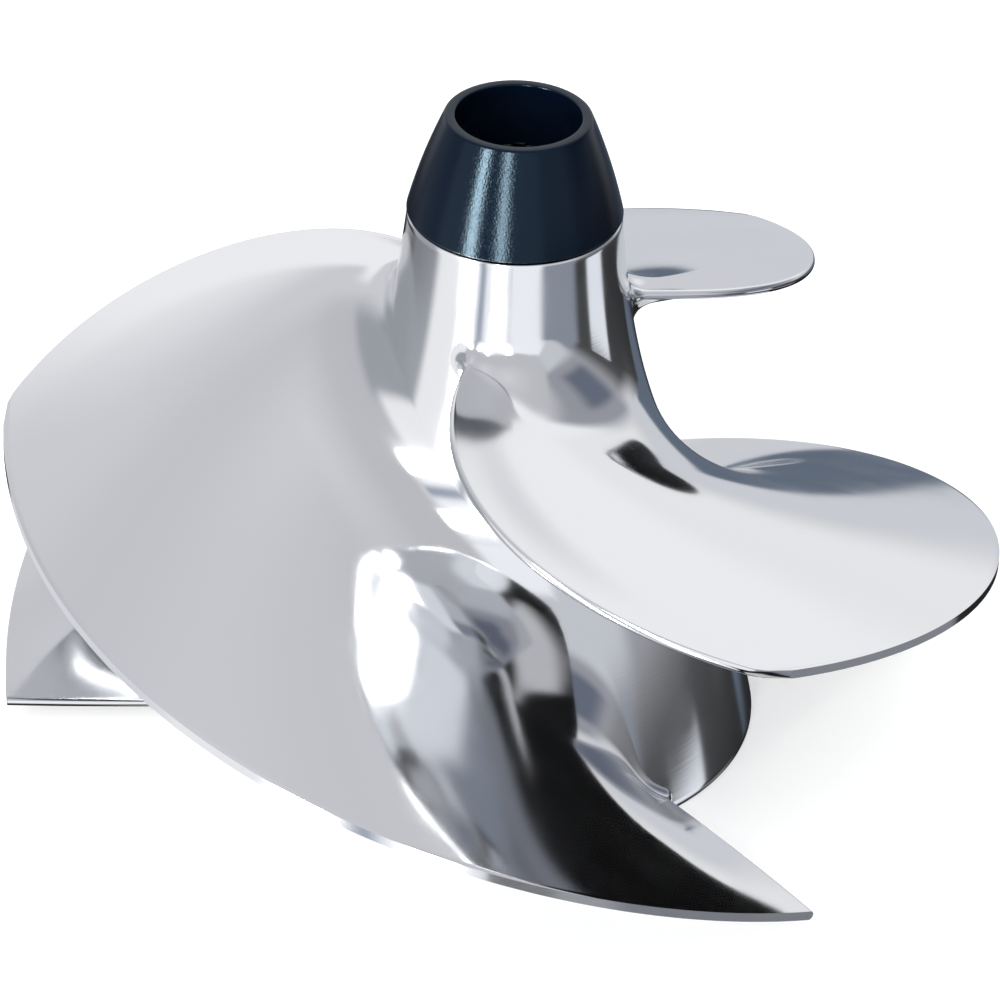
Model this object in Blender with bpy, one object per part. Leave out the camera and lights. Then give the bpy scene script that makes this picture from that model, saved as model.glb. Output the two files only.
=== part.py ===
"""Three-bladed jet-pump impeller for a personal watercraft.

The origin is the centre of the hub's aft rim, which the impeller stands on, and +Z runs forward
along the shaft to the nose. Lengths are millimetres until a mesh or a location is set, in metres.
Blade angles are degrees, seen from the nose, counter-clockwise from -Y.
"""
import math

import bmesh
import bpy
from mathutils import Vector

MM = 0.001

# Rotor: sizes set by the pump's wear ring and shaft line.
TIP_RADIUS = 77.7           # blade tips, 0.1 mm clear of a 155.6 mm wear ring
BLADE_COUNT = 3
HUB_LENGTH = 89.2           # aft rim to the shoulder that the nose boot sits on
HUB_AFT_RADIUS = 41.0
HUB_NOSE_RADIUS = 16.4
HUB_BELLY = (30.4, 50.2)    # radius and height of the two control points that bend the side
HUB_WAIST = (20.8, 42.8)
HUB_SIDE_STEPS = 12
RIM_ROUND = 0.8
SEAT_GAP = 0.3              # clearance between pieces that touch

# Shaft socket, entered from the nose.
SPLINE_TEETH = 16
SPLINE_MAJOR = 9.6
SPLINE_MINOR = 8.4
SOCKET_FLOOR = 50.0
VENT_RADIUS = 5.0           # hole through the web between the socket and the threaded bore
DAMPER_RADIUS = 8.0
DAMPER_LENGTH = 8.0

# Aft end: threaded bore for the pump shaft, in a boss inside the hollow skirt.
THREAD_RADIUS = 10.0
THREAD_END = 43.0
BOSS_RADIUS = 19.0
BOSS_FACE = 3.0
SKIRT_WALL = 4.2
SKIRT_DEPTH = 34.0
FACE_SEAL_RADIUS = 16.0     # centre line of the seal in the boss face
FACE_SEAL_SECTION = 0.9

# Nose: spigot on the hub, with the boot over it.
SPIGOT_RADIUS = 12.9
SPIGOT_LENGTH = 6.0
SPIGOT_SEAL_HEIGHT = 3.9    # above the shoulder
SPIGOT_SEAL_SECTION = 0.8
BOOT_HEIGHT = 16.3
BOOT_BASE_RADIUS = 16.5
BOOT_TOP_RADIUS = 11.4
BOOT_BEND = 0.28            # share of the boot's taper that grows towards the top
BOOT_BORE = 9.6
BOOT_SIDE_STEPS = 6
LIP = 0.9
RING_WIDTH = 1.1            # retaining ring, radial
RING_HEIGHT = 1.4
RING_FOOT = 0.8             # above the boot's base

# Blades. The outer edge falls from the leading corner to the trailing tip.
CORNER_ANGLE = 34.1         # where the rounded leading corner meets the tip cylinder
TRAILING_ANGLE = 158.8
TRAILING_ROOT_ANGLE = 161.0
TRAILING_HEIGHT = 3.7
CORNER_RISE = 46.3          # leading corner above the trailing tip
PITCH_GROWTH = 0.28         # share of that fall that grows with the square of the angle
LEADING_ROOT_ANGLE = -17.0
LEADING_ROOT_RADIUS = 18.5
LEADING_SWEEP = 48.0        # turn of the leading edge from root to tip
LEADING_SWELL = 7.0         # extra turn that rounds the edge forward at mid-span
RAKE_SLOPE = 0.31           # rise of the blade per mm inboard, at the tip
RAKE_CURVE = 0.0020         # how fast that rise levels off
RAKE_FADE = (118.0, 160.5)  # angles between which the rake dies out, for a flat trailing edge
EDGE_THICKNESS = 1.5
ROOT_THICKNESS = 4.2
FLARE = 7.0                 # radius of the flare where a blade meets the hub
FLARE_AT_EDGES = 0.3        # share of the flare left at the leading and trailing edges

# Facets.
TURN_STEPS = 48
SEAL_STEPS = 32
SEAL_SIDES = 8
CHORD_STEPS = 24
# Shares of the way from hub to tip, close together in the flare and at the outer edge.
BLADE_STATIONS = (-0.06, 0.01, 0.05, 0.12, 0.24, 0.42, 0.60, 0.78, 0.92, 0.985, 1.0)

BOOT_BASE = HUB_LENGTH + SEAT_GAP
DAMPER_BASE = SOCKET_FLOOR + SEAT_GAP


# ---------------------------------------------------------------- helpers

def clear_scene():
    for item in list(bpy.data.objects):
        bpy.data.objects.remove(item, do_unlink=True)


def make_material(name, colour, roughness, metallic):
    made = bpy.data.materials.new(name)
    made.use_nodes = True
    shader = made.node_tree.nodes["Principled BSDF"]
    shader.inputs["Base Color"].default_value = (*colour, 1.0)
    shader.inputs["Roughness"].default_value = roughness
    shader.inputs["Metallic"].default_value = metallic
    return made


def finished_mesh(name, maker, look):
    """Turns a bmesh into a mesh with outward faces, smooth shading and one material."""
    bmesh.ops.recalc_face_normals(maker, faces=maker.faces)
    mesh = bpy.data.meshes.new(name)
    maker.to_mesh(mesh)
    maker.free()
    mesh.shade_smooth()
    mesh.set_sharp_from_angle(angle=math.radians(35))
    mesh.materials.append(look)
    return mesh


def place(name, mesh, height=0.0, parent=None):
    made = bpy.data.objects.new(name, mesh)
    made.location.z = height * MM
    made.parent = parent
    bpy.context.collection.objects.link(made)
    return made


def turned(name, outline, look, steps=TURN_STEPS):
    """Mesh of a closed outline of (radius, height) points, spun once round the shaft axis."""
    maker = bmesh.new()
    corners = [maker.verts.new((radius * MM, 0.0, height * MM)) for radius, height in outline]
    edges = [maker.edges.new((corner, corners[i - 1])) for i, corner in enumerate(corners)]
    bmesh.ops.spin(maker, geom=corners + edges, axis=(0, 0, 1), cent=(0, 0, 0), angle=math.tau,
                   steps=steps, use_merge=True)
    return finished_mesh(name, maker, look)


def o_ring(name, centre_radius, section, look):
    circle = []
    for side in range(SEAL_SIDES):
        turn = math.tau * side / SEAL_SIDES
        circle.append((centre_radius + section * math.cos(turn), section * math.sin(turn)))
    return turned(name, circle, look, steps=SEAL_STEPS)


def cut(target, cutter):
    """Cuts a hidden tool body out of a piece."""
    cutter.hide_render = True
    cutter.display_type = "WIRE"
    modifier = target.modifiers.new("cut_" + cutter.name, "BOOLEAN")
    modifier.operation = "DIFFERENCE"
    modifier.solver = "EXACT"
    modifier.object = cutter


def smooth_step(low, high, value):
    share = min(max((value - low) / (high - low), 0.0), 1.0)
    return share * share * (3.0 - 2.0 * share)


# ---------------------------------------------------------------- hub

def hub_side(share):
    """Point (radius, height) on the hub's side, a cubic curve from aft rim (0) to shoulder (1)."""
    back = 1.0 - share
    weights = (back ** 3, 3 * back * back * share, 3 * back * share * share, share ** 3)
    points = ((HUB_AFT_RADIUS, 0.0), HUB_BELLY, HUB_WAIST, (HUB_NOSE_RADIUS, HUB_LENGTH))
    return tuple(sum(w * point[axis] for w, point in zip(weights, points)) for axis in (0, 1))


def hub_radius(height):
    """Hub radius at a height, found by halving the side curve's range."""
    low, high = 0.0, 1.0
    for _ in range(24):
        middle = (low + high) / 2
        if hub_side(middle)[1] < height:
            low = middle
        else:
            high = middle
    return hub_side(low)[0]


def groove(radius, height, half, floor_radius):
    """Outline points of a square seal groove in an outward-facing wall, going up."""
    return [(radius, height - half), (floor_radius, height - half),
            (floor_radius, height + half), (radius, height + half)]


def build_hub(look):
    side = [hub_side(step / HUB_SIDE_STEPS) for step in range(1, HUB_SIDE_STEPS + 1)]
    spigot_end = HUB_LENGTH + SPIGOT_LENGTH
    spigot_seal = SPIGOT_SEAL_SECTION + SEAT_GAP
    face_seal = FACE_SEAL_SECTION + SEAT_GAP
    seal_depth = BOSS_FACE + 2 * face_seal - 0.2
    outline = [(HUB_AFT_RADIUS - RIM_ROUND, 0.0), (HUB_AFT_RADIUS - 0.2, RIM_ROUND)]
    outline += side
    outline += [(SPIGOT_RADIUS, HUB_LENGTH)]
    outline += groove(SPIGOT_RADIUS, HUB_LENGTH + SPIGOT_SEAL_HEIGHT, spigot_seal,
                      SPIGOT_RADIUS - 2 * spigot_seal + 0.2)
    outline += [(SPIGOT_RADIUS, spigot_end - 0.6), (SPIGOT_RADIUS - 0.6, spigot_end)]
    outline += [(VENT_RADIUS, spigot_end), (VENT_RADIUS, THREAD_END)]
    outline += [(THREAD_RADIUS, THREAD_END), (THREAD_RADIUS, BOSS_FACE + 0.8)]
    outline += [(THREAD_RADIUS + 0.8, BOSS_FACE)]
    outline += [(FACE_SEAL_RADIUS - face_seal, BOSS_FACE), (FACE_SEAL_RADIUS - face_seal, seal_depth)]
    outline += [(FACE_SEAL_RADIUS + face_seal, seal_depth), (FACE_SEAL_RADIUS + face_seal, BOSS_FACE)]
    outline += [(BOSS_RADIUS, BOSS_FACE), (BOSS_RADIUS, SKIRT_DEPTH)]
    for height in (SKIRT_DEPTH, SKIRT_DEPTH / 2, 0.0):
        outline.append((hub_radius(height) - SKIRT_WALL, height))
    hub = place("hub", turned("hub", outline, look))
    cut(hub, build_spline_cutter(look))
    return hub


def build_spline_cutter(look):
    """Prism with a flat-topped lobe between each two spline teeth, reaching out past the spigot."""
    maker = bmesh.new()
    outline = []
    for tooth in range(SPLINE_TEETH):
        for radius, share in ((SPLINE_MINOR, 0.10), (SPLINE_MAJOR, 0.25),
                              (SPLINE_MAJOR, 0.65), (SPLINE_MINOR, 0.80)):
            turn = math.tau * (tooth + share) / SPLINE_TEETH
            corner = (radius * math.cos(turn) * MM, radius * math.sin(turn) * MM, 0.0)
            outline.append(maker.verts.new(corner))
    raised = bmesh.ops.extrude_face_region(maker, geom=[maker.faces.new(outline)])["geom"]
    reach = (HUB_LENGTH + 2 * SPIGOT_LENGTH - SOCKET_FLOOR) * MM
    bmesh.ops.translate(maker, vec=(0, 0, reach),
                        verts=[item for item in raised if isinstance(item, bmesh.types.BMVert)])
    return place("spline_cutter", finished_mesh("spline_cutter", maker, look), SOCKET_FLOOR)


# ---------------------------------------------------------------- blades

def blade_height(angle, radius):
    """Height of the middle surface: a helix of growing pitch at the tip, raked up to the hub."""
    share = (angle - CORNER_ANGLE) / (TRAILING_ANGLE - CORNER_ANGLE)
    helix = CORNER_RISE * (1.0 - (1.0 - PITCH_GROWTH) * share - PITCH_GROWTH * share * share)
    inboard = TIP_RADIUS - radius
    rake = RAKE_SLOPE * inboard - RAKE_CURVE * inboard * inboard
    return TRAILING_HEIGHT + helix + rake * (1.0 - smooth_step(*RAKE_FADE, angle))


def blade_point(angle, radius):
    turn = math.radians(angle)
    return Vector((radius * math.sin(turn), -radius * math.cos(turn), blade_height(angle, radius)))


def blade_normal(angle, radius):
    """Unit normal on the forward side, towards the nose."""
    along = blade_point(angle + 0.1, radius) - blade_point(angle - 0.1, radius)
    outward = blade_point(angle, radius + 0.1) - blade_point(angle, radius - 0.1)
    return outward.cross(along).normalized()


def root_radius(angle):
    """Where the middle surface meets the hub, by repeated substitution."""
    radius = HUB_AFT_RADIUS
    for _ in range(20):
        radius = (radius + hub_radius(blade_height(angle, radius))) / 2
    return radius


def leading_angle(radius):
    """The swept leading edge, in plan, before its corner is rounded."""
    reach = max(radius - LEADING_ROOT_RADIUS, 0.0) / (TIP_RADIUS - LEADING_ROOT_RADIUS)
    return LEADING_ROOT_ANGLE + (LEADING_SWEEP + LEADING_SWELL * (1.0 - reach)) * reach * reach


def half_thickness(chord, share, outside):
    """Half the blade's thickness, with the flare that grows within FLARE of the hub."""
    body = smooth_step(0.0, 0.05, chord) * (1.0 - smooth_step(0.93, 1.0, chord))
    inboard = 1.0 - min(max(share, 0.0), 1.0)
    thickness = EDGE_THICKNESS + (ROOT_THICKNESS - EDGE_THICKNESS) * inboard * body
    near = min(max(FLARE - outside, 0.0), FLARE)
    flare = FLARE - math.sqrt(FLARE * FLARE - near * near)
    return thickness / 2 + flare * (FLARE_AT_EDGES + (1.0 - FLARE_AT_EDGES) * body)


def blade_section(share):
    """Points along the forward face and the aft face at one station, leading to trailing edge."""
    forward, aft = [], []
    for step in range(CHORD_STEPS + 1):
        chord = step / CHORD_STEPS
        root = root_radius(LEADING_ROOT_ANGLE + chord * (TRAILING_ROOT_ANGLE - LEADING_ROOT_ANGLE))
        radius = root + share * (TIP_RADIUS - root)
        first = CORNER_ANGLE if share == 1.0 else leading_angle(radius)
        last = TRAILING_ROOT_ANGLE + max(share, 0.0) * (TRAILING_ANGLE - TRAILING_ROOT_ANGLE)
        angle = first + chord * (last - first)
        middle = blade_point(angle, radius)
        half = half_thickness(chord, share, max(radius - hub_radius(middle.z), 0.0))
        for face, side in ((forward, 1.0), (aft, -1.0)):
            point = middle + side * half * blade_normal(angle, radius)
            if share == 1.0:                             # the outer edge follows the tip cylinder
                point.xy *= TIP_RADIUS / point.xy.length
            face.append(point * MM)
    return forward, aft


def blade_mesh(look):
    maker = bmesh.new()
    rows = []
    for share in BLADE_STATIONS:
        forward, aft = blade_section(share)
        rows.append([maker.verts.new(point) for point in forward + aft[::-1]])
    size = len(rows[0])
    for inner, outer in zip(rows, rows[1:]):
        for i in range(size):
            after = (i + 1) % size
            maker.faces.new((inner[i], inner[after], outer[after], outer[i]))
    for row in (rows[0], rows[-1]):                      # close the foot and the outer edge
        for i in range(CHORD_STEPS):
            maker.faces.new((row[i], row[i + 1], row[size - 2 - i], row[size - 1 - i]))
    return finished_mesh("blade", maker, look)


def build_blades(look):
    """Equal blades, each with its foot cut back to the hub's side."""
    side = [hub_side(step / HUB_SIDE_STEPS) for step in range(HUB_SIDE_STEPS + 1)]
    outline = [(radius + SEAT_GAP, height) for radius, height in side]
    outline += [(VENT_RADIUS, HUB_LENGTH), (VENT_RADIUS, 0.0)]
    clearance = place("hub_clearance", turned("hub_clearance", outline, look))
    mesh = blade_mesh(look)
    for number in range(BLADE_COUNT):
        blade = place("blade_%d" % (number + 1), mesh)
        blade.rotation_euler.z = math.tau * number / BLADE_COUNT
        cut(blade, clearance)


# ---------------------------------------------------------------- nose, damper and seals

def build_nose(rubber, steel):
    """The boot and the ring in its skirt, on an empty that slides along the shaft axis."""
    slide = place("boot_slide", None, BOOT_BASE)
    skirt = SPIGOT_RADIUS + SEAT_GAP
    pocket = SPIGOT_LENGTH
    outline = []
    for step in range(BOOT_SIDE_STEPS + 1):
        share = step / BOOT_SIDE_STEPS
        taper = (1.0 - BOOT_BEND) * share + BOOT_BEND * share * share
        radius = BOOT_BASE_RADIUS + (BOOT_TOP_RADIUS - BOOT_BASE_RADIUS) * taper
        outline.append((radius, share * (BOOT_HEIGHT - LIP)))
    outline += [(BOOT_TOP_RADIUS - 0.3 * LIP, BOOT_HEIGHT - 0.3 * LIP)]
    outline += [(BOOT_TOP_RADIUS - LIP, BOOT_HEIGHT), (BOOT_BORE, BOOT_HEIGHT - LIP / 2)]
    outline += [(BOOT_BORE, pocket), (skirt, pocket)]
    groove_wall = skirt + RING_WIDTH + 2 * SEAT_GAP
    groove_top = RING_FOOT + RING_HEIGHT + SEAT_GAP
    outline += [(skirt, groove_top), (groove_wall, groove_top)]
    outline += [(groove_wall, RING_FOOT - SEAT_GAP), (skirt, RING_FOOT - SEAT_GAP), (skirt, 0.0)]
    place("nose_boot", turned("nose_boot", outline, rubber), parent=slide)

    inner = skirt + SEAT_GAP
    section = [(inner, 0.0), (inner + RING_WIDTH, 0.0),
               (inner + RING_WIDTH, RING_HEIGHT), (inner, RING_HEIGHT)]
    place("boot_retaining_ring", turned("boot_retaining_ring", section, steel), RING_FOOT, slide)


def build_damper(rubber):
    """Solid plug with a bevelled front edge, loose in the bottom of the socket."""
    maker = bmesh.new()
    bmesh.ops.create_cone(maker, cap_ends=True, segments=SEAL_STEPS, depth=DAMPER_LENGTH * MM,
                          radius1=DAMPER_RADIUS * MM, radius2=DAMPER_RADIUS * MM)
    bmesh.ops.translate(maker, verts=maker.verts, vec=(0, 0, DAMPER_LENGTH / 2 * MM))
    front = [edge for edge in maker.edges if all(v.co.z > DAMPER_LENGTH / 2 * MM for v in edge.verts)]
    bmesh.ops.bevel(maker, geom=front, offset=1.2 * MM, segments=2, profile=0.5, affect="EDGES")
    place("shaft_damper", finished_mesh("shaft_damper", maker, rubber), DAMPER_BASE)


def build_seals(rubber):
    spigot_centre = SPIGOT_RADIUS - SPIGOT_SEAL_SECTION - SEAT_GAP + 0.2
    place("boot_o_ring", o_ring("boot_o_ring", spigot_centre, SPIGOT_SEAL_SECTION, rubber),
          HUB_LENGTH + SPIGOT_SEAL_HEIGHT)
    place("aft_o_ring", o_ring("aft_o_ring", FACE_SEAL_RADIUS, FACE_SEAL_SECTION, rubber),
          BOSS_FACE + FACE_SEAL_SECTION + 0.1)


def main():
    clear_scene()
    polished = make_material("polished_stainless", (0.78, 0.78, 0.79), 0.10, 1.0)
    blade_finish = make_material("buffed_blade", (0.80, 0.80, 0.81), 0.16, 1.0)
    boot_rubber = make_material("boot_rubber", (0.012, 0.022, 0.045), 0.30, 0.0)
    spring_steel = make_material("spring_steel", (0.55, 0.56, 0.58), 0.30, 1.0)
    damper_rubber = make_material("damper_rubber", (0.03, 0.03, 0.03), 0.70, 0.0)
    seal_rubber = make_material("seal_rubber", (0.02, 0.02, 0.02), 0.50, 0.0)
    build_hub(polished)
    build_blades(blade_finish)
    build_nose(boot_rubber, spring_steel)
    build_damper(damper_rubber)
    build_seals(seal_rubber)


main()
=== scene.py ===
"""Looks of the jet-pump impeller: mirror-polished rotor, moulded nose boot, seals, studio.

Lengths are millimetres until a mesh is made. Blade angles are degrees seen from the nose,
counter-clockwise from -Y, as in the part's own design.
"""
import math

import bpy
import numpy as np
from mathutils import Matrix, Vector


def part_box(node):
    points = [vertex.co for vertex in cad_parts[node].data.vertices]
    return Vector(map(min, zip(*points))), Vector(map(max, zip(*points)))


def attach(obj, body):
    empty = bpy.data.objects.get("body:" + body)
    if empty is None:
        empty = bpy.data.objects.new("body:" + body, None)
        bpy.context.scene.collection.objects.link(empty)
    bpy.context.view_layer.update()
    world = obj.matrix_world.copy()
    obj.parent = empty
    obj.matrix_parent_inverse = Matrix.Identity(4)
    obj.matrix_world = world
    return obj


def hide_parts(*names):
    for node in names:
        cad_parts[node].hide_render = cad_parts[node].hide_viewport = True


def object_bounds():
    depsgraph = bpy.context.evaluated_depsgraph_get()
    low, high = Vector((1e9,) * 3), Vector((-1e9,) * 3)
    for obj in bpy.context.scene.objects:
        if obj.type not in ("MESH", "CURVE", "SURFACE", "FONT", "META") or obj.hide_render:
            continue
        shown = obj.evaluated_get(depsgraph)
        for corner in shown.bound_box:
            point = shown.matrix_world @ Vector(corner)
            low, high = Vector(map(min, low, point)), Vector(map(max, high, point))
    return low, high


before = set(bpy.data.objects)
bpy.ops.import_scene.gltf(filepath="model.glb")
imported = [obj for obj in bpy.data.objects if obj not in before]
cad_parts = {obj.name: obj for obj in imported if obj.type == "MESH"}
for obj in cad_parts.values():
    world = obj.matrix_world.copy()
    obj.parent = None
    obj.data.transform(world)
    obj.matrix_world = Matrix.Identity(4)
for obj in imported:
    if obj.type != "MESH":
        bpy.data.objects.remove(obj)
cad_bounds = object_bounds()

M = 0.001


def box_mm(node):
    low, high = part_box(node)
    return [v / M for v in low], [v / M for v in high]


# ---------------------------------------------------------------- sizes

BOOT_LOW, BOOT_HIGH = box_mm("nose_boot")
TIP_RADIUS = 77.7
HUB_LENGTH = 89.2           # aft rim to the shoulder under the boot
HUB_CURVE = ((41.0, 0.0), (30.4, 50.2), (20.8, 42.8), (16.4, HUB_LENGTH))   # radius, height

# Nose of the hub: spigot for the boot, and the splined socket down its middle.
SPIGOT_RADIUS = 12.9
SPIGOT_TOP = HUB_LENGTH + 6.0
GROOVE_FLOOR = 10.9         # radius at the bottom of the seal's groove
GROOVE = (92.0, 94.2)       # heights of its two walls
TEETH = 16
TOOTH_MINOR = 8.4
TOOTH_RISE = 1.2
TOOTH_FLANK = 0.15          # each flank's share of a tooth's pitch
SOCKET_FLOOR = 50.0

# Tail of the hub: boss with the threaded bore, face seal's groove, hollow skirt round it.
VENT_RADIUS = 5.0
THREAD_RADIUS = 10.0
THREAD_END = 43.0
THREAD_PITCH = 2.0
THREAD_DEPTH = 0.6
THREAD_STEPS = 6            # rings of vertices in one pitch
BOSS_RADIUS = 19.0
BOSS_FACE = 3.0
FACE_GROOVE = (14.8, 17.2, 5.2)             # inner radius, outer radius, height of its floor
SKIRT_FLOOR = 34.0
SKIRT_CORNER = 3.0
SKIRT_INSIDE = ((30.4, 22.0), (33.2, 14.5), (35.4, 7.0), (36.6, 1.0))

# Boot, from the spigot's shoulder up.
BOOT_BASE_RADIUS = 16.5
BOOT_TOP_RADIUS = 11.4
BOOT_BEND = 0.28            # how far the taper bows out
BOOT_BORE = 9.6
BOOT_SOCKET = 13.2
BOOT_SOCKET_TOP = 95.5
RING_GROOVE = (14.9, 90.0, 92.0)            # radius and the heights of its two walls

# O-rings: centre radius, height, wire radius.
BOOT_SEAL = (12.0, 93.1, 0.8)
FACE_SEAL = (16.0, 4.0, 0.9)

CORNER_ANGLE = 34.1         # leading corner on the tip cylinder
TRAILING_ANGLE = 158.8      # trailing edge at the tip
TRAILING_ROOT_ANGLE = 161.0
TRAILING_HEIGHT = 3.7
CORNER_RISE = 46.3          # leading corner above the trailing one
PITCH_GROWTH = 0.28         # share of the rise that steepens towards the tail
LEADING_ROOT_ANGLE = -17.0
LEADING_ROOT_RADIUS = 18.5
LEADING_SWEEP = 48.0
LEADING_SWELL = 7.0
RAKE_SLOPE = 0.31
RAKE_CURVE = 0.0020
RAKE_FADE = (118.0, 160.5)
EDGE_HALF = 0.75            # half thickness at the edges
ROOT_HALF = 2.1
CORNER_START = 0.975        # share of the span where the leading corner starts to round
HIDDEN = 0.01               # how far a fillet's last row lies inside the hub
BURIED = 1.2                # depth inside the hub of the blade's closing face
FILLET_PULL = 0.62          # handle length of the fillet's curve, as a share of its reach
# Reach over the chord, reach round both edges, and the aft side's share of the first.
FILLET_UP_BLADE = (11.0, 3.6, 0.65)
FILLET_UP_HUB = (9.5, 3.2, 0.60)
TRAILING_SHRINK = 0.55      # share of the fillet lost at the trailing edge

# Mesh density.
ROUND = 192                 # steps round a turned piece
SEAL_ROUND = 128
WIRE_STEPS = 24
CHORD_POINTS = 190
ARC_POINTS = 7              # steps round a quarter of a blade's edge
SPAN_ROWS = 46
FILLET_ROWS = 16
SHARP_DEGREES = 28.0        # turned pieces shade smoothly below this angle


# ---------------------------------------------------------------- shape of the hub

def hub_at(height):
    """Radius and slope dr/dz of the hub's side at heights, by Newton steps on its cubic curve."""
    height = np.asarray(height, float)
    (r0, z0), (r1, z1), (r2, z2), (r3, z3) = HUB_CURVE
    t = np.clip(height / HUB_LENGTH, 0.0, 1.0)

    def cubic(a, b, c, d, t):
        back = 1.0 - t
        return a * back ** 3 + 3 * b * back ** 2 * t + 3 * c * back * t ** 2 + d * t ** 3

    def speed(a, b, c, d, t):
        back = 1.0 - t
        return 3 * ((b - a) * back ** 2 + 2 * (c - b) * back * t + (d - c) * t ** 2)

    for _ in range(12):
        t = t - (cubic(z0, z1, z2, z3, t) - height) / speed(z0, z1, z2, z3, t)
        t = np.clip(t, -0.2, 1.2)
    return cubic(r0, r1, r2, r3, t), speed(r0, r1, r2, r3, t) / speed(z0, z1, z2, z3, t)


def hub_normal(points):
    """Outward normal of the hub's side at the points' heights and directions."""
    radius = np.hypot(points[..., 0], points[..., 1])
    slope = hub_at(points[..., 2])[1]
    normal = np.stack([points[..., 0] / radius, points[..., 1] / radius, -slope], -1)
    return unit(normal)


def unit(vectors):
    return vectors / np.maximum(np.linalg.norm(vectors, axis=-1, keepdims=True), 1e-12)


def ease(low, high, value):
    """Smooth step whose first and second derivatives vanish at both ends."""
    share = np.clip((value - low) / (high - low), 0.0, 1.0)
    return share ** 3 * (10.0 - 15.0 * share + 6.0 * share ** 2)


# ---------------------------------------------------------------- shape of a blade

def blade_height(angle, radius):
    """Height of the blade's middle surface: a helix of growing pitch, with rake that fades aft."""
    share = (angle - CORNER_ANGLE) / (TRAILING_ANGLE - CORNER_ANGLE)
    helix = CORNER_RISE * (1.0 - (1.0 - PITCH_GROWTH) * share - PITCH_GROWTH * share ** 2)
    inboard = TIP_RADIUS - radius
    rake = RAKE_SLOPE * inboard - RAKE_CURVE * inboard ** 2
    return TRAILING_HEIGHT + helix + rake * (1.0 - ease(*RAKE_FADE, angle))


def root_radius(angle):
    """Radius where the middle surface meets the hub, by repeated averaging."""
    radius = np.full_like(angle, HUB_CURVE[0][0])
    for _ in range(24):
        radius = (radius + hub_at(blade_height(angle, radius))[0]) / 2
    return radius


def middle(chord, span):
    """Middle surface: chord 0 to 1 is leading to trailing edge, span 0 to 1 is hub to tip."""
    root = ROOTS(chord)
    radius = root + span * (TIP_RADIUS - root)
    reach = np.maximum(radius - LEADING_ROOT_RADIUS, 0.0) / (TIP_RADIUS - LEADING_ROOT_RADIUS)
    first = LEADING_ROOT_ANGLE + (LEADING_SWEEP + LEADING_SWELL * (1.0 - reach)) * reach ** 2
    late = np.clip((span - CORNER_START) / (1.0 - CORNER_START), 0.0, 1.0)
    extra = CORNER_ANGLE - LEADING_ROOT_ANGLE - LEADING_SWEEP
    first = first + extra * (1.0 - np.sqrt(1.0 - late ** 2))
    last = TRAILING_ROOT_ANGLE + np.clip(span, 0, 1) * (TRAILING_ANGLE - TRAILING_ROOT_ANGLE)
    angle = first + chord * (last - first)
    turn = np.radians(angle)
    return np.stack([radius * np.sin(turn), -radius * np.cos(turn), blade_height(angle, radius)], -1)


def root_curve():
    """Root radius as a smooth polynomial of the chord, quick to evaluate at every vertex."""
    chord = np.linspace(-0.02, 1.02, 400)
    angle = LEADING_ROOT_ANGLE + chord * (TRAILING_ROOT_ANGLE - LEADING_ROOT_ANGLE)
    return np.polynomial.Chebyshev.fit(chord, root_radius(angle), 14)


ROOTS = root_curve()


def surface_frame(chord, span):
    """Middle point, normal of the face towards the nose, and the way out past the nearer edge."""
    step = 1e-4
    inner = np.minimum(span, 1.0 - 1e-3)
    point = middle(chord, span)
    along = middle(chord + step, inner) - middle(chord - step, inner)
    outward = middle(chord, inner + step) - middle(chord, inner - step)
    normal = unit(np.cross(outward, along))
    edge = unit(along) * np.where(chord[..., None] < 0.5, -1.0, 1.0)
    return point, normal, edge


def half_thickness(chord, span):
    body = ease(0.0, 0.10, chord) * (1.0 - ease(0.90, 1.0, chord))
    return EDGE_HALF + (ROOT_HALF - EDGE_HALF) * np.clip(1.0 - span, 0, 1) ** 1.2 * body


def loop_stations():
    """Chord and lift round a section: leading edge, nose-side face, trailing edge, aft face back.

    Lift is the angle round an edge: 90 degrees on the nose side, 0 at the edge, -90 aft.
    """
    quarter = np.arange(1, ARC_POINTS) / ARC_POINTS * math.pi / 2
    chord_line = np.linspace(0.0, 1.0, CHORD_POINTS)
    chord_line = 0.5 * (chord_line + 0.5 * (1 - np.cos(math.pi * chord_line)))
    chord = [np.zeros(ARC_POINTS), chord_line, np.ones(ARC_POINTS - 1), np.ones(1)]
    lift = [np.concatenate([[0.0], quarter]), np.full(CHORD_POINTS, math.pi / 2),
            quarter[::-1], np.zeros(1)]
    chord = np.concatenate(chord)
    lift = np.concatenate(lift)
    chord = np.concatenate([chord, chord[-2:0:-1]])
    lift = np.concatenate([lift, -lift[-2:0:-1]])
    return chord, lift


CHORD, LIFT = loop_stations()
LOOP = len(CHORD)
HALF_LOOP = LOOP // 2


def section(span):
    """One closed section at a span, or at one span for each station."""
    span = np.broadcast_to(span, CHORD.shape)
    point, normal, edge = surface_frame(CHORD, span)
    half = half_thickness(CHORD, span)[:, None]
    return point + half * (np.sin(LIFT)[:, None] * normal + np.cos(LIFT)[:, None] * edge)


def fillet_size(middle_size, edge_size, aft_share):
    """Fillet reach for every station: full over the chord, less aft, small round both edges."""
    side = np.sin(LIFT)
    near = np.minimum(ease(0.0, 0.16, CHORD), 1.0 - ease(0.80, 1.0, CHORD))
    size = np.where(side > 0, middle_size, middle_size * aft_share)
    return edge_size + (size - edge_size) * near * np.abs(side)


def hub_crossing():
    """Span at which each station's line crosses the hub's side, by bisection."""
    low, high = np.full(LOOP, -0.15), np.full(LOOP, 0.35)
    for _ in range(34):
        half_way = (low + high) / 2
        trial = section(half_way)
        outside = np.hypot(trial[:, 0], trial[:, 1]) > hub_at(trial[:, 2])[0]
        high = np.where(outside, half_way, high)
        low = np.where(outside, low, half_way)
    return (low + high) / 2


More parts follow.
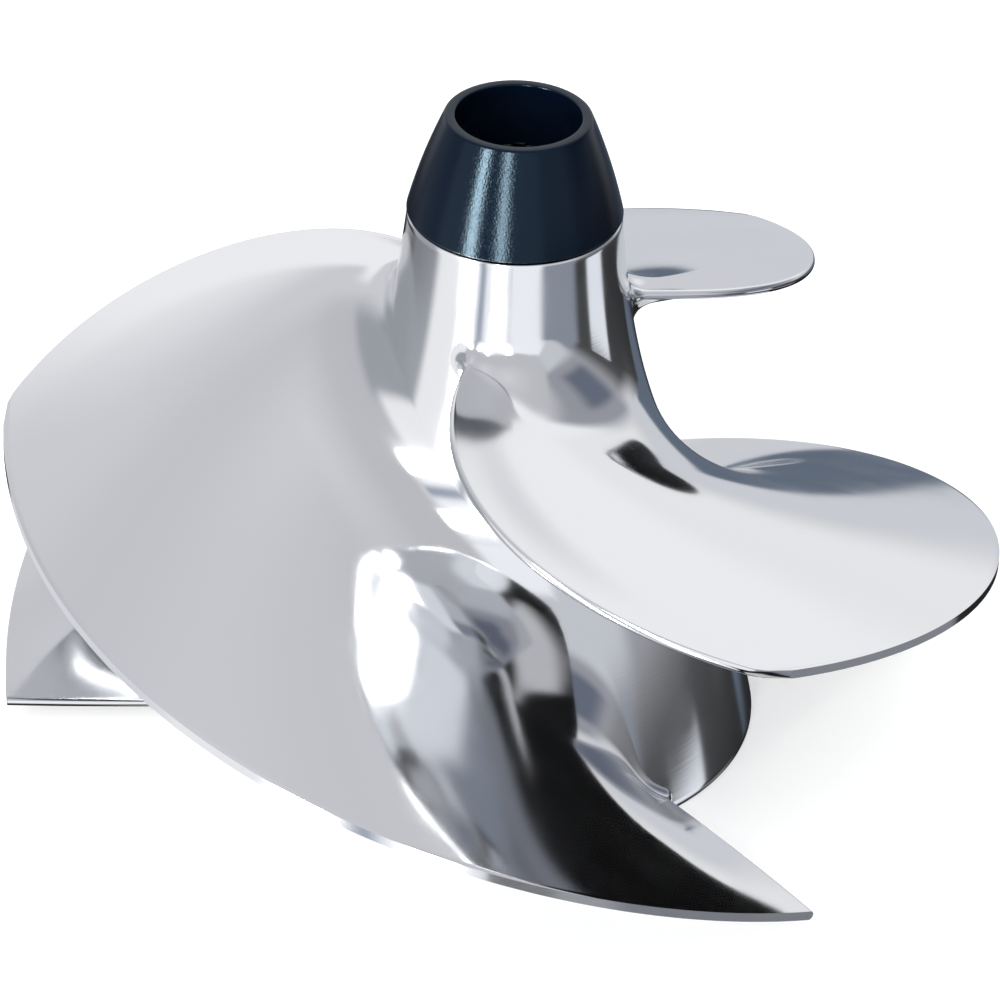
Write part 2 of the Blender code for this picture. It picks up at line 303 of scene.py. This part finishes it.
def blade_grid():
    """Rows of sections from the foot, through the fillet, to the outer edge."""
    corner_span = hub_crossing()
    corner = section(corner_span)
    shrink = 1.0 - TRAILING_SHRINK * ease(0.86, 1.0, CHORD)
    up_blade = fillet_size(*FILLET_UP_BLADE) * shrink
    up_hub = fillet_size(*FILLET_UP_HUB) * shrink

    start_span = corner_span + up_blade / (TIP_RADIUS - ROOTS(CHORD))
    start = section(start_span)
    from_tip = unit(start - section(start_span + 1e-3))

    ahead, behind = np.roll(corner, -1, 0), np.roll(corner, 1, 0)
    away = unit(np.cross(hub_normal(corner), ahead - behind))
    away[[0, HALF_LOOP]] = unit(away[[1, HALF_LOOP + 1]] + away[[-1, HALF_LOOP - 1]])
    foot = corner + away * up_hub[:, None]
    foot[:, 2] = np.maximum(foot[:, 2], 1.0)    # clear of the aft rim
    foot[:, :2] *= ((hub_at(foot[:, 2])[0] - HIDDEN) / np.hypot(foot[:, 0], foot[:, 1]))[:, None]
    foot_normal = hub_normal(foot)
    to_corner = corner - foot
    to_corner -= (to_corner * foot_normal).sum(-1, keepdims=True) * foot_normal
    near_blade = start + from_tip * FILLET_PULL * np.linalg.norm(corner - start, axis=1)[:, None]
    near_foot = foot + FILLET_PULL * to_corner
    rows = []
    for t in np.linspace(0.0, 1.0, FILLET_ROWS + 1):
        back = 1.0 - t
        rows.append(foot * back ** 3 + 3 * near_foot * back ** 2 * t
                    + 3 * near_blade * back * t ** 2 + start * t ** 3)
    even = np.linspace(0.0, 1.0, SPAN_ROWS + 1)[1:]
    for q in np.sin(even * math.pi / 2) * 0.5 + even * 0.5:
        rows.append(section(start_span + (1.0 - start_span) * q))
    grid = np.array(rows)
    grid[-1, :, :2] *= (TIP_RADIUS / np.hypot(grid[-1, :, 0], grid[-1, :, 1]))[:, None]
    return grid, foot_normal


def grid_normals(grid):
    """Outward normal at each grid point from its neighbours, closed round the loop."""
    along = np.roll(grid, -1, 1) - np.roll(grid, 1, 1)
    outward = np.gradient(grid, axis=0)
    return unit(np.cross(outward, along))


# ---------------------------------------------------------------- mesh helpers

def add_mesh(name, points, faces, normals, look, body, replaced):
    """One piece from points in millimetres; normals are one for each face corner, or None."""
    mesh = bpy.data.meshes.new(name)
    mesh.from_pydata((np.asarray(points) * M).tolist(), [], faces)
    mesh.update()
    mesh.shade_smooth()
    if normals is None:
        mesh.set_sharp_from_angle(angle=math.radians(SHARP_DEGREES))
    else:
        mesh.normals_split_custom_set(normals.tolist())
    mesh.materials.append(look)
    piece = bpy.data.objects.new(name, mesh)
    bpy.context.collection.objects.link(piece)
    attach(piece, body)
    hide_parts(*replaced)
    return piece


def lathe(name, rings, look, body, replaced, count=ROUND):
    """Closed ring of cross-sections: each ring is a radius, or one for each step, and a height."""
    turn = np.arange(count) * math.tau / count
    points = []
    for radius, height in rings:
        radius = np.broadcast_to(radius, (count,))
        height = np.broadcast_to(height, (count,))
        points.append(np.stack([radius * np.cos(turn), radius * np.sin(turn), height], -1))
    points = np.concatenate(points)
    faces = []
    for row in range(len(rings)):
        after = (row + 1) % len(rings)
        for i in range(count):
            k = (i + 1) % count
            faces.append((row * count + i, row * count + k, after * count + k, after * count + i))
    return add_mesh(name, points, faces, None, look, body, replaced)


def arc(centre, radius, start, end, steps):
    """Rings round a corner of a turned profile, angles in degrees from outward, up."""
    turns = np.radians(np.linspace(start, end, steps + 1))
    return [(centre[0] + radius * math.cos(a), centre[1] + radius * math.sin(a)) for a in turns]


# ---------------------------------------------------------------- rotor

def build_blades(look):
    """Three turned copies of one blade, with its normals set so the fillets shade smoothly."""
    grid, foot_normal = blade_grid()
    normals = grid_normals(grid)
    normals[0] = foot_normal
    rows = len(grid)
    buried = grid[0].copy()
    buried[:, :2] *= (1.0 - BURIED / np.hypot(buried[:, 0], buried[:, 1]))[:, None]
    points = np.concatenate([buried, grid.reshape(-1, 3)])
    inner_normals = np.concatenate([foot_normal, normals.reshape(-1, 3)])
    faces, corner_normals = [], []
    for row in range(rows):
        for i in range(LOOP):
            k = (i + 1) % LOOP
            face = (row * LOOP + i, (row + 1) * LOOP + i, (row + 1) * LOOP + k, row * LOOP + k)
            faces.append(face)
            corner_normals += [inner_normals[v] for v in face]
    for base, sign in ((0, -1.0), (rows * LOOP, 1.0)):   # foot inside the hub, then outer edge
        for i in range(HALF_LOOP):
            ring = [i, i + 1, (LOOP - i - 1) % LOOP, (LOOP - i) % LOOP]
            face = [base + v for v in dict.fromkeys(ring)]
            if sign > 0:
                face.reverse()
            faces.append(tuple(face))
            corner_normals += [sign * n for n in unit(points[face] * [1.0, 1.0, 0.0])]
    corner_normals = np.array(corner_normals)
    for number in range(3):
        turn = math.tau * number / 3
        spin = np.array([[math.cos(turn), math.sin(turn), 0.0],
                         [-math.sin(turn), math.cos(turn), 0.0], [0.0, 0.0, 1.0]])
        add_mesh("blade_skin_%d" % (number + 1), points @ spin, faces, corner_normals @ spin,
                 look, "rotor", ["blade_%d" % (number + 1)])


def spline_profile(count):
    """Radius round the socket: teeth with sloping flanks."""
    phase = (np.arange(count) * TEETH / count) % 1.0
    rise = (np.clip((phase - 0.10) / TOOTH_FLANK, 0, 1)
            - np.clip((phase - 0.65) / TOOTH_FLANK, 0, 1))
    return TOOTH_MINOR + TOOTH_RISE * rise


def thread_rings():
    """Rings down the threaded bore; the ridge turns with them and fades in at the inner end."""
    phase = np.arange(ROUND) / ROUND
    start = THREAD_END - 1.0
    rings = []
    for height in np.arange(start, 4.2, -THREAD_PITCH / THREAD_STEPS):
        wave = np.abs(((height / THREAD_PITCH - phase) % 1.0) * 2 - 1)
        fade = min((start - height) / THREAD_PITCH, 1.0)
        cut = THREAD_DEPTH * np.clip(wave * 1.3 - 0.15, 0, 1) * fade
        rings.append((THREAD_RADIUS + cut, height))
    return rings


def spigot_rings():
    low, high = GROOVE
    return [(SPIGOT_RADIUS + 0.3, HUB_LENGTH), (SPIGOT_RADIUS, HUB_LENGTH + 0.3),
            (SPIGOT_RADIUS, low), (GROOVE_FLOOR, low), (GROOVE_FLOOR, high),
            (SPIGOT_RADIUS, high), (SPIGOT_RADIUS, SPIGOT_TOP - 0.5),
            (SPIGOT_RADIUS - 0.5, SPIGOT_TOP), (10.6, SPIGOT_TOP)]


def boss_rings():
    """Chamfered mouth of the bore, boss face with the seal's groove, and the boss's side."""
    inner, outer, floor = FACE_GROOVE
    return [(THREAD_RADIUS + 0.9, BOSS_FACE + 0.5), (11.4, BOSS_FACE), (inner, BOSS_FACE),
            (inner, floor), (outer, floor), (outer, BOSS_FACE), (BOSS_RADIUS - 0.5, BOSS_FACE),
            (BOSS_RADIUS, BOSS_FACE + 0.5), (BOSS_RADIUS + 0.2, 30.0)]


def build_hub(look):
    """Whole hub: polished side, spigot, splined socket, threaded boss and hollow skirt."""
    side = np.linspace(1.0, HUB_LENGTH - 0.35, 150)
    rings = [(36.9, 0.0)] + arc((40.2, 0.6), 0.6, -90, -12, 6)
    rings += list(zip(hub_at(side)[0], side))
    rings += arc((16.1, HUB_LENGTH - 0.3), 0.3, 10, 90, 4)
    rings += spigot_rings()
    teeth = spline_profile(ROUND)
    rings += [(teeth + 0.3, SPIGOT_TOP), (teeth, SPIGOT_TOP - 0.6), (teeth, SOCKET_FLOOR)]
    rings += [(VENT_RADIUS, SOCKET_FLOOR), (VENT_RADIUS, THREAD_END), (THREAD_RADIUS, THREAD_END)]
    rings += thread_rings()
    rings += boss_rings()
    corner_height = SKIRT_FLOOR - SKIRT_CORNER
    rings += arc((22.2, corner_height), SKIRT_CORNER, 180, 90, 6)
    rings += arc((24.4, corner_height), SKIRT_CORNER, 90, 20, 6)
    rings += SKIRT_INSIDE
    lathe("hub_skin", rings, look, "rotor", ["hub"])


# ---------------------------------------------------------------- boot, damper, ring and seals

def build_boot(look):
    """Boot: bowed taper, rounded lip, shaft bore, socket for the spigot and the ring's groove."""
    low, high = BOOT_LOW[2], BOOT_HIGH[2]
    rise = np.linspace(0.0, 1.0, 40)
    taper = (1.0 - BOOT_BEND) * rise + BOOT_BEND * rise ** 2
    side = BOOT_BASE_RADIUS + (BOOT_TOP_RADIUS - BOOT_BASE_RADIUS) * taper
    heights = low + 0.25 + rise * (high - low - 0.75)
    rings = [(BOOT_SOCKET, low), (BOOT_BASE_RADIUS - 0.4, low), (BOOT_BASE_RADIUS - 0.1, low + 0.08)]
    rings += list(zip(side, heights))
    rings += arc((10.85, high - 0.5), 0.5, 12, 90, 6)
    rings += arc((BOOT_BORE + 0.25, high - 0.25), 0.25, 90, 180, 4)
    groove, groove_low, groove_high = RING_GROOVE
    rings += [(BOOT_BORE, 104.0), (BOOT_BORE, BOOT_SOCKET_TOP), (BOOT_SOCKET, BOOT_SOCKET_TOP),
              (BOOT_SOCKET, groove_high), (groove, groove_high), (groove, groove_low),
              (BOOT_SOCKET, groove_low)]
    lathe("boot_skin", rings, look, "nose", ["nose_boot"])


def repaint(node, look):
    """Give a CAD object a material, in place of the frame's own."""
    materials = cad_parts[node].data.materials
    materials.clear()
    materials.append(look)


def build_seal(name, size, look, replaced):
    """O-ring of round section on the rotor."""
    centre_radius, height, wire = size
    rings = [(centre_radius + wire * math.cos(a), height + wire * math.sin(a))
             for a in np.arange(WIRE_STEPS) * math.tau / WIRE_STEPS]
    lathe(name, rings, look, "rotor", [replaced], count=SEAL_ROUND)


# ---------------------------------------------------------------- materials

def new_material(name, colour, roughness, metallic):
    made = bpy.data.materials.new(name)
    made.use_nodes = True
    shader = made.node_tree.nodes["Principled BSDF"]
    shader.inputs["Base Color"].default_value = (*colour, 1.0)
    shader.inputs["Roughness"].default_value = roughness
    shader.inputs["Metallic"].default_value = metallic
    return made, made.node_tree, shader


def noise(tree, scale, detail, stretch=(1, 1, 1)):
    place = tree.nodes.new("ShaderNodeTexCoord")
    mapping = tree.nodes.new("ShaderNodeMapping")
    mapping.inputs["Scale"].default_value = stretch
    made = tree.nodes.new("ShaderNodeTexNoise")
    made.inputs["Scale"].default_value = scale
    made.inputs["Detail"].default_value = detail
    tree.links.new(place.outputs["Object"], mapping.inputs["Vector"])
    tree.links.new(mapping.outputs["Vector"], made.inputs["Vector"])
    return made.outputs["Fac"]


def ranged(tree, value, low, high, out_low, out_high):
    made = tree.nodes.new("ShaderNodeMapRange")
    made.inputs["From Min"].default_value = low
    made.inputs["From Max"].default_value = high
    made.inputs["To Min"].default_value = out_low
    made.inputs["To Max"].default_value = out_high
    tree.links.new(value, made.inputs["Value"])
    return made.outputs["Result"]


def bump(tree, shader, height, distance, strength):
    made = tree.nodes.new("ShaderNodeBump")
    made.inputs["Distance"].default_value = distance
    made.inputs["Strength"].default_value = strength
    tree.links.new(height, made.inputs["Height"])
    tree.links.new(made.outputs["Normal"], shader.inputs["Normal"])


def polished_metal(name, roughness, buffing):
    """Mirror polish with faint cloudy haze and fine buffing lines."""
    made, tree, shader = new_material(name, (0.86, 0.865, 0.88), roughness, 1.0)
    haze = ranged(tree, noise(tree, 60.0, 4.0), 0.35, 0.75, roughness * 0.7, roughness * 1.8)
    tree.links.new(haze, shader.inputs["Roughness"])
    lines = noise(tree, 90.0, 3.0, buffing)
    bump(tree, shader, lines, 0.000007, 0.3)
    return made


def boot_material():
    """Blue-black moulding with a fine grain and patches of duller skin."""
    made, tree, shader = new_material("boot_moulded", (0.0008, 0.0025, 0.007), 0.2, 0.0)
    shader.inputs["IOR"].default_value = 1.42
    shader.inputs["Specular IOR Level"].default_value = 0.4
    shader.inputs["Specular Tint"].default_value = (0.55, 0.80, 1.0, 1.0)
    bump(tree, shader, noise(tree, 3400.0, 2.0), 0.00005, 0.5)
    dusty = ranged(tree, noise(tree, 3200.0, 1.0), 0.45, 0.75, 0.10, 0.22)
    tree.links.new(dusty, shader.inputs["Roughness"])
    return made


def rubber(name, shade, roughness):
    made, tree, shader = new_material(name, (shade, shade, shade * 1.1), roughness, 0.0)
    bump(tree, shader, noise(tree, 1500.0, 3.0), 0.00005, 0.3)
    return made


# ---------------------------------------------------------------- studio

def build_floor():
    """White sweep that glows a little, so shadows stay light; the metal does not reflect it."""
    bpy.ops.mesh.primitive_plane_add(size=6.0, location=(0, 0, cad_bounds[0][2]))
    floor = bpy.context.object
    floor.name = "studio_floor"
    made, _, shader = new_material("floor_white", (0.55, 0.55, 0.55), 0.9, 0.0)
    shader.inputs["Emission Color"].default_value = (1.0, 1.0, 1.0, 1.0)
    shader.inputs["Emission Strength"].default_value = 0.5
    floor.data.materials.append(made)
    floor.visible_glossy = False


def build_camera():
    """Long lens from the front and above, rolled a little."""
    data = bpy.data.cameras.new("camera")
    data.lens = 224.1
    data.sensor_width = 36.0
    data.clip_end = 20.0
    camera = bpy.data.objects.new("camera", data)
    camera.location = (0.0, -0.8200, 0.5589)
    target = Vector((-0.0005, 0.0, 0.0372))
    facing = (target - camera.location).to_track_quat("-Z", "Y")
    roll = Matrix.Rotation(math.radians(2.29), 3, "Z").to_quaternion()
    camera.rotation_mode = "QUATERNION"
    camera.rotation_quaternion = facing @ roll
    bpy.context.collection.objects.link(camera)
    bpy.context.scene.camera = camera


# Light seen in the metal, as soft-edged panels on a sphere round the object: azimuth runs from
# straight behind (0) to the right (90), elevation is above the horizon, in degrees.
#         azimuth         elevation    edge  brightness
PANELS = (
    ((-52.0, 56.0), (-14.0, 64.0), 16.0, (0.66, 0.67, 0.70)),     # lit wall behind the object
    ((-34.0, 48.0), (16.0, 54.0), 14.0, (0.95, 0.955, 0.97)),     # its brightest stretch
    ((11.0, 40.0), (2.0, 24.0), 10.0, (0.88, 0.89, 0.90)),        # which dips lower to the right
    ((46.0, 122.0), (-3.0, 34.0), 10.0, (0.33, 0.34, 0.38)),      # dim right-hand wall
    ((62.0, 100.0), (0.0, 20.0), 10.0, (0.14, 0.16, 0.21)),       # darker doorway in it
    ((-12.0, 44.0), (-13.0, -2.0), 3.0, (0.64, 0.66, 0.70)),      # foot of the lit wall
    ((-18.0, 40.0), (-27.0, -13.0), 3.0, (0.12, 0.15, 0.20)),     # blue-grey bench in its shade
    ((-100.0, -56.0), (-24.0, 28.0), 12.0, (0.36, 0.38, 0.41)),   # dim left-hand wall
    ((-124.0, -24.0), (-56.0, -27.0), 8.0, (0.74, 0.75, 0.79)),   # pale bench, left
    ((-130.0, -98.0), (-66.0, 22.0), 10.0, (0.92, 0.93, 0.95)),   # white reflector, front left
    ((112.0, 160.0), (-4.0, 34.0), 12.0, (0.60, 0.62, 0.66)),     # front right fill
    ((114.0, 152.0), (-30.0, -6.0), 8.0, (0.26, 0.29, 0.34)),     # and its dim lower half
    ((50.0, 165.0), (-38.0, -29.0), 5.0, (0.24, 0.25, 0.28)),     # rail in front of the dark
    ((78.0, 99.0), (-29.0, -17.0), 3.0, (0.84, 0.87, 0.93)),      # slot of light, right
    ((84.0, 170.0), (-80.0, -56.0), 8.0, (0.60, 0.60, 0.62)),     # bench edge, low right
    ((-182.0, -126.0), (-62.0, 30.0), 12.0, (0.94, 0.96, 1.0)),   # large softbox, front left
    ((150.0, 182.0), (-34.0, 30.0), 8.0, (0.94, 0.96, 1.0)),      # its far end, past the camera
    ((-140.0, -132.0), (-45.0, 32.0), 6.0, (40.0, 40.0, 38.0)),   # tube lamps in that softbox
    ((-171.0, -164.0), (-45.0, 32.0), 6.0, (28.0, 28.0, 27.0)),
    ((-154.0, -148.0), (-50.0, 30.0), 5.0, (0.34, 0.38, 0.46)),   # its dark frame
)


MIX_A, MIX_B, MIX_RESULT = 6, 7, 2      # colour sockets of a Mix node


def build_light():
    """World of a tall gradient with the panels over it, and one broad lamp overhead."""
    world = bpy.data.worlds.new("studio")
    bpy.context.scene.world = world
    world.use_nodes = True
    tree = world.node_tree
    nodes, links = tree.nodes, tree.links

    def math_node(operation, first, second=0.0):
        made = nodes.new("ShaderNodeMath")
        made.operation = operation
        for socket, value in zip(made.inputs, (first, second)):
            if isinstance(value, (int, float)):
                socket.default_value = value
            else:
                links.new(value, socket)
        return made.outputs[0]

    def between(value, low, high, edge):
        """1 inside the range, easing to 0 over the edge width."""
        parts = []
        for start, end in ((low - edge / 2, low + edge / 2), (high + edge / 2, high - edge / 2)):
            ranger = nodes.new("ShaderNodeMapRange")
            ranger.interpolation_type = "SMOOTHSTEP"
            ranger.inputs["From Min"].default_value = start
            ranger.inputs["From Max"].default_value = end
            links.new(value, ranger.inputs["Value"])
            parts.append(ranger.outputs["Result"])
        return math_node("MULTIPLY", *parts)

    place = nodes.new("ShaderNodeTexCoord")
    split = nodes.new("ShaderNodeSeparateXYZ")
    links.new(place.outputs["Generated"], split.inputs[0])
    x, y, z = split.outputs
    azimuth = math_node("MULTIPLY", math_node("ARCTAN2", x, y), 180.0 / math.pi)
    elevation = math_node("MULTIPLY", math_node("ARCSINE", z), 180.0 / math.pi)
    ramp = nodes.new("ShaderNodeValToRGB")
    links.new(math_node("DIVIDE", math_node("ADD", elevation, 90.0), 180.0), ramp.inputs["Fac"])
    # Gradient from straight down (0) to straight up (1): position and shade.
    stops = ((0.0, 0.002), (0.25, 0.006), (0.36, 0.03), (0.43, 0.09), (0.50, 0.46), (0.65, 0.56),
             (0.82, 0.58), (1.0, 0.72))
    while len(ramp.color_ramp.elements) < len(stops):
        ramp.color_ramp.elements.new(0.5)
    for element, (position, shade) in zip(ramp.color_ramp.elements, stops):
        element.position = position
        element.color = (shade * 0.97, shade * 0.98, shade * 1.03, 1.0)
    colour = ramp.outputs["Color"]
    for (az_low, az_high), (el_low, el_high), edge, shade in PANELS:
        mask = math_node("MULTIPLY", between(azimuth, az_low, az_high, edge),
                         between(elevation, el_low, el_high, edge))
        mix = nodes.new("ShaderNodeMix")
        mix.data_type = "RGBA"
        links.new(mask, mix.inputs["Factor"])
        links.new(colour, mix.inputs[MIX_A])
        mix.inputs[MIX_B].default_value = (*shade, 1.0)
        colour = mix.outputs[MIX_RESULT]
    links.new(colour, nodes["Background"].inputs["Color"])

    # Broad overhead light for the floor and the rubber; no reflection shows it.
    data = bpy.data.lights.new("overhead", "AREA")
    data.shape = "DISK"
    data.size = 2.6
    data.energy = 34.0
    lamp = bpy.data.objects.new("overhead", data)
    lamp.location = (-0.3, -0.2, 1.5)
    lamp.rotation_mode = "QUATERNION"
    lamp.rotation_quaternion = (-lamp.location).to_track_quat("-Z", "Y")
    lamp.visible_glossy = False
    bpy.context.collection.objects.link(lamp)
    bpy.context.scene.view_settings.view_transform = "Standard"


def main():
    metal = polished_metal("polished_stainless", 0.10, (1, 1, 30))
    blade_metal = polished_metal("polished_blade", 0.085, (1, 1, 8))
    build_hub(metal)
    build_blades(blade_metal)
    build_boot(boot_material())
    seal = rubber("seal_rubber", 0.02, 0.4)
    build_seal("boot_seal_skin", BOOT_SEAL, seal, "boot_o_ring")
    build_seal("aft_seal_skin", FACE_SEAL, seal, "aft_o_ring")
    repaint("shaft_damper", rubber("damper_rubber", 0.03, 0.65))
    steel, _, _ = new_material("spring_steel", (0.55, 0.56, 0.58), 0.3, 1.0)
    repaint("boot_retaining_ring", steel)
    build_floor()
    build_light()
    build_camera()


main()
